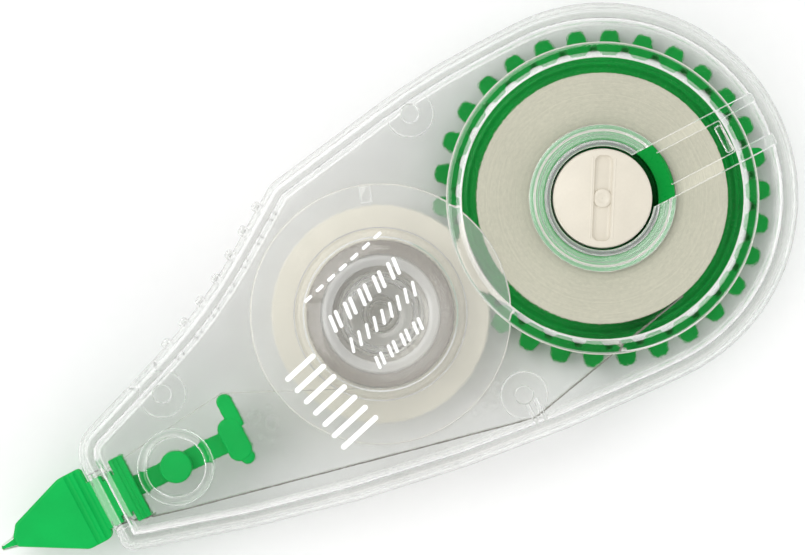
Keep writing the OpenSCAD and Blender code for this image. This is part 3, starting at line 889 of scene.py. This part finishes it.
class ROLLER_OT_take_up_wheel(bpy.types.Operator):
    """Cream take-up gear, clear reel and the used liner wound on it"""

    bl_idname = "roller.take_up_wheel"
    bl_label = "Take-up Wheel"

    def execute(self, context):
        s, t = context.scene.roller_wheels, context.scene.roller_tape
        turn = math.degrees(s.tooth_turn)
        near = 180 - turn - 12 * round((180 - turn) / 12)
        phase = math.radians(near * s.teeth / s.small_teeth + 180 / s.small_teeth)
        top = GEAR_Z + 1.5
        gear = toothed_disc(tooth_corners(s.small_teeth, gear_module(s), phase, 0.72, 0.3, 0.26),
                            GEAR_Z, top, TAKE_UP)
        flange_r = half_width("take_up_gear")
        plate = turned([(3.67, GEAR_Z + 0.2, 0.02), (5.4, GEAR_Z + 0.2, 0.02),
                        (5.4, top + 0.2, 0.02), (flange_r, top + 0.2, 0.1),
                        (flange_r, TAPE_Z - 0.05, 0.12), (6.55, TAPE_Z - 0.05, 0.05),
                        (6.45, TAPE_Z - 0.15, 0.05), (6.3, TAPE_Z - 0.15, 0.05),
                        (6.2, TAPE_Z - 0.05, 0.05), (3.67, TAPE_Z - 0.05, 0.05)], TAKE_UP, 128)
        combine(gear, [plate], "UNION")
        combine(gear, [pin(3.67, 0, 6, TAKE_UP, 0, steps=96)], "DIFFERENCE")
        cream = solid_plastic("Gear Cream Acetal", s.cream, 0.36, 0.4, 0.05)
        finished(gear, "take_up_gear_cream", "take_up_wheel", [cream],
                 ["take_up_gear"])

        low, high = REEL_TOP - 0.65, REEL_TOP - 0.15
        # the reel's bands, its edges and inner tubes, take the rim finish, a painted highlight that
        # whitens what refraction leaves dark
        reel = turned([(1.46, GEAR_Z, 0.05), (2.4, GEAR_Z, 0.1), (2.4, low, 0.2), (3.1, low, 0.2),
                       (3.1, GEAR_Z, 0.1), (3.66, GEAR_Z, 0.1), (3.66, TAPE_Z - 0.02, 0.05),
                       (4.52, TAPE_Z - 0.02, 0.08), (4.52, low, 0.15), (10.05, low, 0.15),
                       (10.05, high, 0.18), (6.65, high, 0.04), (6.65, REEL_TOP, 0.07),
                       (5.9, REEL_TOP, 0.07), (5.9, high, 0.04), (4.5, high, 0.03),
                       (4.45, high + 0.1, 0.04), (3.75, high + 0.1, 0.04), (3.7, high, 0.03),
                       (2.6, high, 0.04), (2.4, high + 0.1, 0.08), (1.46, high + 0.1, 0.08)],
                      TAKE_UP, 160,
                      highlight_bands=((9.95, 10.2), (6.55, 6.7), (5.85, 5.95), (3.72, 4.48)), flats=True)
        bar = block((8.6, 9.9), (-0.45, 0.45), (high - 0.1, REEL_TOP), 0.08, 1)
        combine(reel, [moved(bar, TAKE_UP, BAR_TURN)], "UNION")
        clear = clear_plastic("Reel Clear Styrene", s.clear, 0.12)
        # the strongly frosted rim finish is painted highlight
        highlight_rim = clear_plastic("Reel Clear Rim Painted Highlight", s.clear, 0.4, roughness=0.1)
        finished(reel, "take_up_reel_clear", "take_up_wheel", [clear, highlight_rim],
                 ["take_up_reel"])

        radius = half_width("used_liner_roll")
        roll = turned([(4.53, TAPE_Z + 0.02, 0.03), (radius, TAPE_Z + 0.02, 0.05),
                       (radius, TAPE_TOP, 0.06), (5.1, TAPE_TOP - 0.03, 0.3),
                       (4.53, TAPE_TOP, 0.03)], TAKE_UP, 128)
        paper = wound_material("Wound Liner Edge", t.liner, TAKE_UP, 14.0, 1.6, 0.6, 0.2)
        finished(roll, "used_liner", "take_up_wheel", [paper], ["used_liner_roll"])
        return {"FINISHED"}


class ROLLER_OT_head(bpy.types.Operator):
    """Blade head: cheeks, web, stepped neck, cross-bar, stem, boss and T-bar in one moulding"""

    bl_idname = "roller.head"
    bl_label = "Head"

    def execute(self, context):
        s = context.scene.roller_head
        edge = s.edge / MM
        low = (TAPE_Z - 0.9, TAPE_Z - 0.3)
        high = (TAPE_TOP + 0.3, TAPE_TOP + 0.9)
        neck = [((-26.1, -24.8), (-5.05, -1.05)), ((-25.1, -24.3), (-4.55, -1.55)),
                ((-24.55, -23.95), (-4.95, -1.1)), ((-24.1, -23.6), (-4.65, -1.45)),
                ((-23.8, -22.65), (-5.55, -0.35))]
        parts = []
        for z in (low, high):
            outer = {"low": edge} if z is low else {"high": edge}
            parts.append(prism(NOSE, z[0], z[1], **outer))
            for x, y in neck:
                parts.append(block(x, y, z, 0.1))
        web = prism(WEB, TAPE_Z - 0.6, TAPE_TOP + 0.6)
        grooves = []
        for z, way in ((high[1], 1), (low[0], -1)):
            for x, radius in ((-27.15, 0.3), (-26.35, 0.34), (-23.38, 0.14), (-23.05, 0.14)):
                bm = bmesh.new()
                bmesh.ops.create_cone(bm, cap_ends=True, segments=24, radius1=radius,
                                      radius2=radius, depth=7)
                bmesh.ops.rotate(bm, cent=(0, 0, 0), verts=bm.verts,
                                 matrix=Matrix.Rotation(math.pi / 2, 3, "X"))
                bmesh.ops.translate(bm, vec=(x, -2.9, z + way * radius * 0.5), verts=bm.verts)
                grooves.append(blank(bm))
        middle_z = (TAPE_Z + TAPE_TOP) / 2
        pads = [block((-24.2, -22.6), (-3.85, -2.2), (z[0] - 0.05, z[1] + 0.05), 0.08)
                for z in (low, high)]
        core = prism(box_corners((-26.1, -22.75), (-4.6, -1.45), 0.2), TAPE_Z - 0.6,
                     TAPE_TOP + 0.6)
        combine(web, parts, "UNION")
        combine(web, grooves, "DIFFERENCE")
        stem = prism([(-22.9, -3.83, 0.25), (-14.4, -4.12, 0.25), (-14.4, -2.4, 0.25),
                      (-22.9, -2.25, 0.25)], middle_z - 1.6, middle_z + 1.6, 0.15, 0.15)
        boss = pin(1.25, TAPE_Z - 1, TAPE_TOP + 1, BOSS, 0.15, 0.15, 64)
        bar = prism([(-15.3, -5.1, 0.85), (-13.42, -5.1, 0.85), (-13.42, -1.62, 0.85),
                     (-15.3, -1.62, 0.85)], TAPE_Z - 0.6, TAPE_TOP + 0.6, 0.18, 0.18)
        nub = pin(0.58, TAPE_Z - 0.52, TAPE_TOP + 0.52, (-14.1, -4.98), 0.18, 0.18, 32)
        arm = prism([(-14.37, -2.7, 0.25), (-13.15, -2.7, 0.25), (-13.15, 0.16, 0.6),
                     (-14.37, 0.16, 0.6)], TAPE_Z - 0.55, TAPE_TOP + 0.55, 0.18, 0.18)
        combine(web, pads + [core, stem, boss, bar, nub, arm], "UNION")
        green = solid_plastic("Head Green Polypropylene", s.green, 0.36, 0.15, 0.07, 0.12)
        head = finished(web, "blade_head", "", [green],
                        ["head_nose", "head_stem"])
        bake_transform(head)
        return {"FINISHED"}


def on_circle(centre, radius, angle):
    return centre[0] + radius * math.cos(angle), centre[1] + radius * math.sin(angle)


def tangent(centre, radius, other, other_radius=0.0, way=1, crossing=False):
    """Direction of the normal where a straight run touches two circles, or a circle and a point."""
    dx, dy = other[0] - centre[0], other[1] - centre[1]
    reach = radius + other_radius if crossing else radius - other_radius
    return math.atan2(dy, dx) + way * math.acos(reach / math.hypot(dx, dy))


def around(centre, radius, start, end, steps=10):
    """Points of an arc that goes the short way round."""
    end -= 2 * math.pi * round((end - start) / (2 * math.pi))
    return [on_circle(centre, radius, start + (end - start) * i / steps)
            for i in range(steps + 1)]


def ribbon(path, bottom, top, thickness):
    """Ribbon on edge, raised from the path and thickened; inside the case its edges get a dark
    painted shade.
    """
    bm = bmesh.new()
    line = [bm.verts.new((x, y, bottom)) for x, y in path]
    edges = [bm.edges.new(pair) for pair in zip(line, line[1:])]
    raised = bmesh.ops.extrude_edge_only(bm, edges=edges)["geom"]
    bmesh.ops.translate(bm, vec=(0, 0, top - bottom),
                        verts=[g for g in raised if isinstance(g, bmesh.types.BMVert)])
    bmesh.ops.recalc_face_normals(bm, faces=bm.faces)
    obj = blank(bm)
    step = obj.modifiers.new("Thickness", "SOLIDIFY")
    step.thickness, step.offset, step.use_even_offset = thickness, 0, True
    bake_modifiers(obj)
    for face in obj.data.polygons:
        # edges inside the case take slot 1, a dark painted shade
        face.material_index = int(abs(face.normal.z) > 0.9 and face.center.x > NOSE[2][0])
    return obj


class ROLLER_OT_ribbons(bpy.types.Operator):
    """Tape from the roll round the blade, and the liner back to the take-up reel"""

    bl_idname = "roller.ribbons"
    bl_label = "Ribbons"

    def execute(self, context):
        s = context.scene.roller_tape
        thick = s.thickness / MM
        gap = thick / 2 + 0.03
        guide, guide_r = POSTS[2], POST_R + gap
        roll_r = half_width("tape_roll") + gap
        a1 = tangent(SUPPLY, roll_r, guide, guide_r)
        entry = (-25.6, -5.12)
        a2 = tangent(guide, guide_r, entry)
        path = [on_circle(SUPPLY, roll_r, a1)] + around(guide, guide_r, a1, a2)
        last = path[-1]
        path += [(last[0] + (entry[0] - last[0]) * k / 6, last[1] + (entry[1] - last[1]) * k / 6)
                 for k in range(1, 6)]
        path += [(-24.7, -5.17), (-25.2, -5.1)] + TIP_PATH
        paper = solid_plastic("Tape Ribbon Coating", s.ribbon, 0.5, 0.35, 0.04, 0.1)
        # dark painted shade for the tape's edges inside the case
        edge = solid_plastic("Tape Ribbon Edge Painted Shade", (0.2, 0.19, 0.17), 0.6, 0.2, 0.1, 0.0)
        tape = finished(ribbon(path, TAPE_Z + 0.02, TAPE_TOP, thick), "tape_ribbon", "",
                        [paper, edge], ["tape_strand", "tip_tape"], even=False)
        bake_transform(tape)

        arm, arm_r = (-13.775, -0.44), 0.6 + gap
        liner_r = half_width("used_liner_roll") + gap
        entry = (-25.6, -1.0)
        a1 = tangent(arm, arm_r, entry, way=-1)
        a2 = tangent(arm, arm_r, TAKE_UP, liner_r, crossing=True)
        path = [entry] + around(arm, arm_r, a1, a2) + [on_circle(TAKE_UP, liner_r, a2 + math.pi)]
        film = clear_plastic("Liner Film", (0.86, 0.84, 0.78), 0.35, 0.8, roughness=0.12)
        finished(ribbon(path, TAPE_Z + 0.02, TAPE_TOP, thick * 0.6), "liner_ribbon", "case",
                 [film, film], ["liner_strand"], even=False)
        return {"FINISHED"}


class ROLLER_OT_print(bpy.types.Operator):
    """White ink on the front plate's printed bars"""

    bl_idname = "roller.print"
    bl_label = "Print"

    def execute(self, context):
        s = context.scene.roller_case
        ink = solid_plastic("Print Ink", s.ink, 0.55, 0.3, 0.05, 0.5)
        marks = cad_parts["printed_marks"]
        marks.data.materials.clear()
        marks.data.materials.append(ink)
        return {"FINISHED"}


# ---------------------------------------------------------------- stage


def area_light(name, place, aim, size, power):
    lamp = bpy.data.lights.new(name, "AREA")
    lamp.shape, lamp.size, lamp.size_y, lamp.energy = "RECTANGLE", size, size, power
    obj = bpy.data.objects.new(name, lamp)
    obj.location = place
    obj.rotation_euler = (Vector(aim) - Vector(place)).to_track_quat("-Z", "Y").to_euler()
    obj.visible_camera = False
    bpy.context.scene.collection.objects.link(obj)


SENSOR_WIDTH = 36


class ROLLER_OT_stage(bpy.types.Operator):
    """Pale floor, soft studio lights and the camera straight above the front"""

    bl_idname = "roller.stage"
    bl_label = "Stage"

    def execute(self, context):
        scene, s = context.scene, context.scene.roller_stage
        bm = bmesh.new()
        bmesh.ops.create_grid(bm, x_segments=1, y_segments=1, size=2.5)
        floor = blank(bm, "floor")
        made, tree, surface, spot = new_material("Floor Paper")
        feed(tree, surface, Base_Color=shade(tree, noise(tree, spot, 900.0, 3.0),
                                             times(s.floor, 0.99), times(s.floor, 1.01)),
             Roughness=0.9, Specular_IOR_Level=0.1)
        floor.data.materials.clear()
        floor.data.materials.append(made)

        world = bpy.data.worlds.new("Studio Room")
        world.use_nodes = True
        tree = world.node_tree
        back = [n for n in tree.nodes if n.type == "BACKGROUND"][0]
        direction = node(tree, "ShaderNodeTexCoord").outputs["Generated"]
        up = node(tree, "ShaderNodeSeparateXYZ", Vector=direction).outputs["Z"]
        feed(tree, back, Color=shade(tree, ranged(tree, up, 0.9, 0.975), (1.0, 1.0, 1.0),
                                     (0.06, 0.06, 0.06)), Strength=s.sky)
        scene.world = world

        area_light("overhead_light", (-0.25, 0.35, 0.9), (0, 0, 0), 0.7, s.key)
        area_light("side_light", (0.8, -0.45, 0.45), (0, 0, 0), 0.5, s.side)
        area_light("fill_light", (-0.7, -0.35, 0.4), (-0.02, 0, 0), 0.5, s.fill)

        camera = bpy.data.cameras.new("front_camera")
        camera.lens, camera.sensor_width = s.lens, SENSOR_WIDTH
        away = s.view_width * s.lens / SENSOR_WIDTH
        camera.clip_start, camera.clip_end = away * 0.2, away * 4
        view = bpy.data.objects.new("front_camera", camera)
        view.location = (2.79 * MM, 1.70 * MM, PLATE_TOP * MM * 0.75 + away)
        view.rotation_euler = (0, 0, s.roll)
        scene.collection.objects.link(view)
        scene.camera = view

        scene.view_settings.view_transform = "Standard"
        scene.cycles.max_bounces = 24
        scene.cycles.transmission_bounces = 20
        scene.cycles.glossy_bounces = 8
        scene.cycles.diffuse_bounces = 4
        scene.cycles.transparent_max_bounces = 32
        return {"FINISHED"}


# ---------------------------------------------------------------- panel and start


STEPS = ["back_shell", "front_shell", "click_tongue", "supply_wheel", "supply_reel",
         "take_up_wheel", "head", "ribbons", "print", "stage"]
SETTINGS = {"roller_case": RollerCaseSettings, "roller_wheels": RollerWheelSettings,
            "roller_tape": RollerTapeSettings, "roller_head": RollerHeadSettings,
            "roller_stage": RollerStageSettings}


class ROLLER_PT_panel(bpy.types.Panel):
    """Lists the roller's pieces and their sizes and colours"""

    bl_idname = "ROLLER_PT_panel"
    bl_label = "Correction Tape Roller"
    bl_space_type = "VIEW_3D"
    bl_region_type = "UI"
    bl_category = "Roller"

    def draw(self, context):
        for key, kind in SETTINGS.items():
            box = self.layout.box()
            for name in kind.__annotations__:
                box.prop(getattr(context.scene, key), name)
        for step in STEPS:
            self.layout.operator("roller." + step)


CLASSES = [*SETTINGS.values(), ROLLER_OT_back_shell, ROLLER_OT_front_shell,
           ROLLER_OT_click_tongue, ROLLER_OT_supply_wheel, ROLLER_OT_supply_reel,
           ROLLER_OT_take_up_wheel, ROLLER_OT_head, ROLLER_OT_ribbons, ROLLER_OT_print,
           ROLLER_OT_stage, ROLLER_PT_panel]


def register():
    for kind in CLASSES:
        bpy.utils.register_class(kind)
    for key, kind in SETTINGS.items():
        setattr(bpy.types.Scene, key, PointerProperty(type=kind))


def unregister():
    for key in SETTINGS:
        delattr(bpy.types.Scene, key)
    for kind in reversed(CLASSES):
        bpy.utils.unregister_class(kind)


def main():
    register()
    for step in STEPS:
        if getattr(bpy.ops.roller, step)() != {"FINISHED"}:
            raise RuntimeError(step + " wasn't built")


if __name__ == "__main__":
    main()
